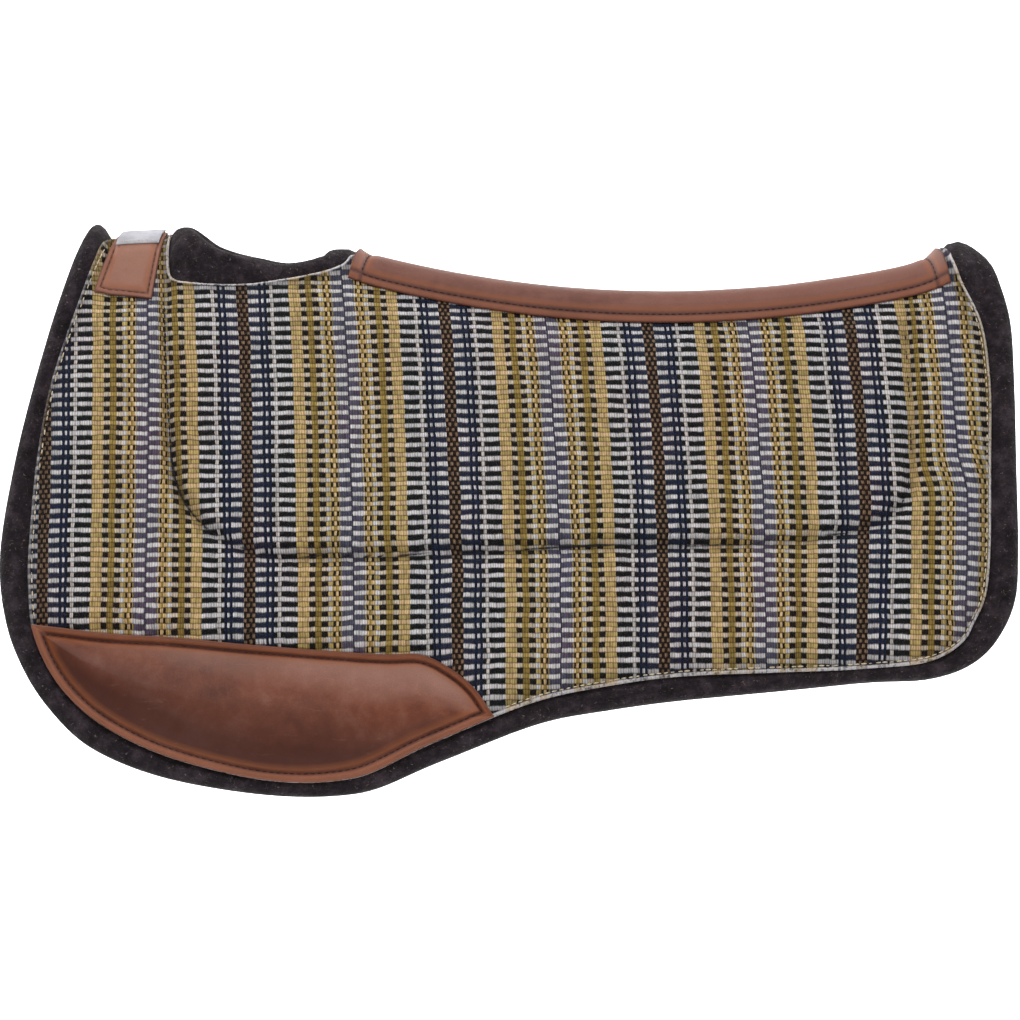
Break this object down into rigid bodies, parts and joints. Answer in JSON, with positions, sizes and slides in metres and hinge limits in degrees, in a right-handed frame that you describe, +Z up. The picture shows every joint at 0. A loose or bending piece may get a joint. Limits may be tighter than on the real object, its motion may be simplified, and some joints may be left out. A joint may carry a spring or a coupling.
{
  "type": "saddle pad",
  "caption": "Contoured western saddle pad in thick wool felt with a striped woven cover, a leather strip over the spine, leather wear patches and a wither cut-out.",
  "frame": {"origin": "on the underside of the felt at the spine, below the lowest point of the topline", "axes": "+X towards the rear of the horse, +Y towards the horse's right side, +Z up; the two sides mirror each other about the XZ plane at rest"},
  "size_m": [0.8114, 0.371, 0.4451],
  "materials": {
    "wool_felt": "thick pressed wool felt, near black with a plum cast and sparse pale flecks",
    "woven_cover": "coarse woven wool with upright stripes in navy, olive gold, tan, lavender, brown and white",
    "padding": "soft filling under the wear leather",
    "wear_leather": "oiled pull-up leather, satin, paler where it is stretched",
    "spine_leather": "smooth red-brown leather, satin",
    "tape": "flat woven tape",
    "label_cloth": "plain woven satin label",
    "dark_thread": "bonded dark brown sewing thread",
    "light_thread": "cream sewing thread"
  },
  "bodies": {
    "left_half": {"left_felt": "wool_felt", "left_cover": "woven_cover", "left_wear_padding": "padding", "left_wear_leather": "wear_leather", "left_edge_stitching": "light_thread", "left_wear_stitching": "dark_thread", "left_quilting": "dark_thread", "spine_joining_tape": "tape", "spine_strap": "spine_leather", "spine_stitching": "dark_thread", "front_patch": "spine_leather", "front_patch_stitching": "dark_thread", "plain_label": "label_cloth", "label_stitching": "light_thread"},
    "right_half": {"right_felt": "wool_felt", "right_cover": "woven_cover", "right_wear_padding": "padding", "right_wear_leather": "wear_leather", "right_edge_stitching": "light_thread", "right_wear_stitching": "dark_thread", "right_quilting": "dark_thread"}
  },
  "joints": [
    {"name": "spine_fold", "type": "hinge", "parent": "left_half", "child": "right_half", "pos_m": [0, 0, 0.042], "axis": [1, 0, 0], "range_deg": [-25, 35], "stiffness_Nm_per_rad": 6, "springref_deg": 16.04, "deforming": ["spine_joining_tape", "spine_strap", "spine_stitching", "front_patch", "front_patch_stitching", "plain_label", "label_stitching"]}
  ]
}
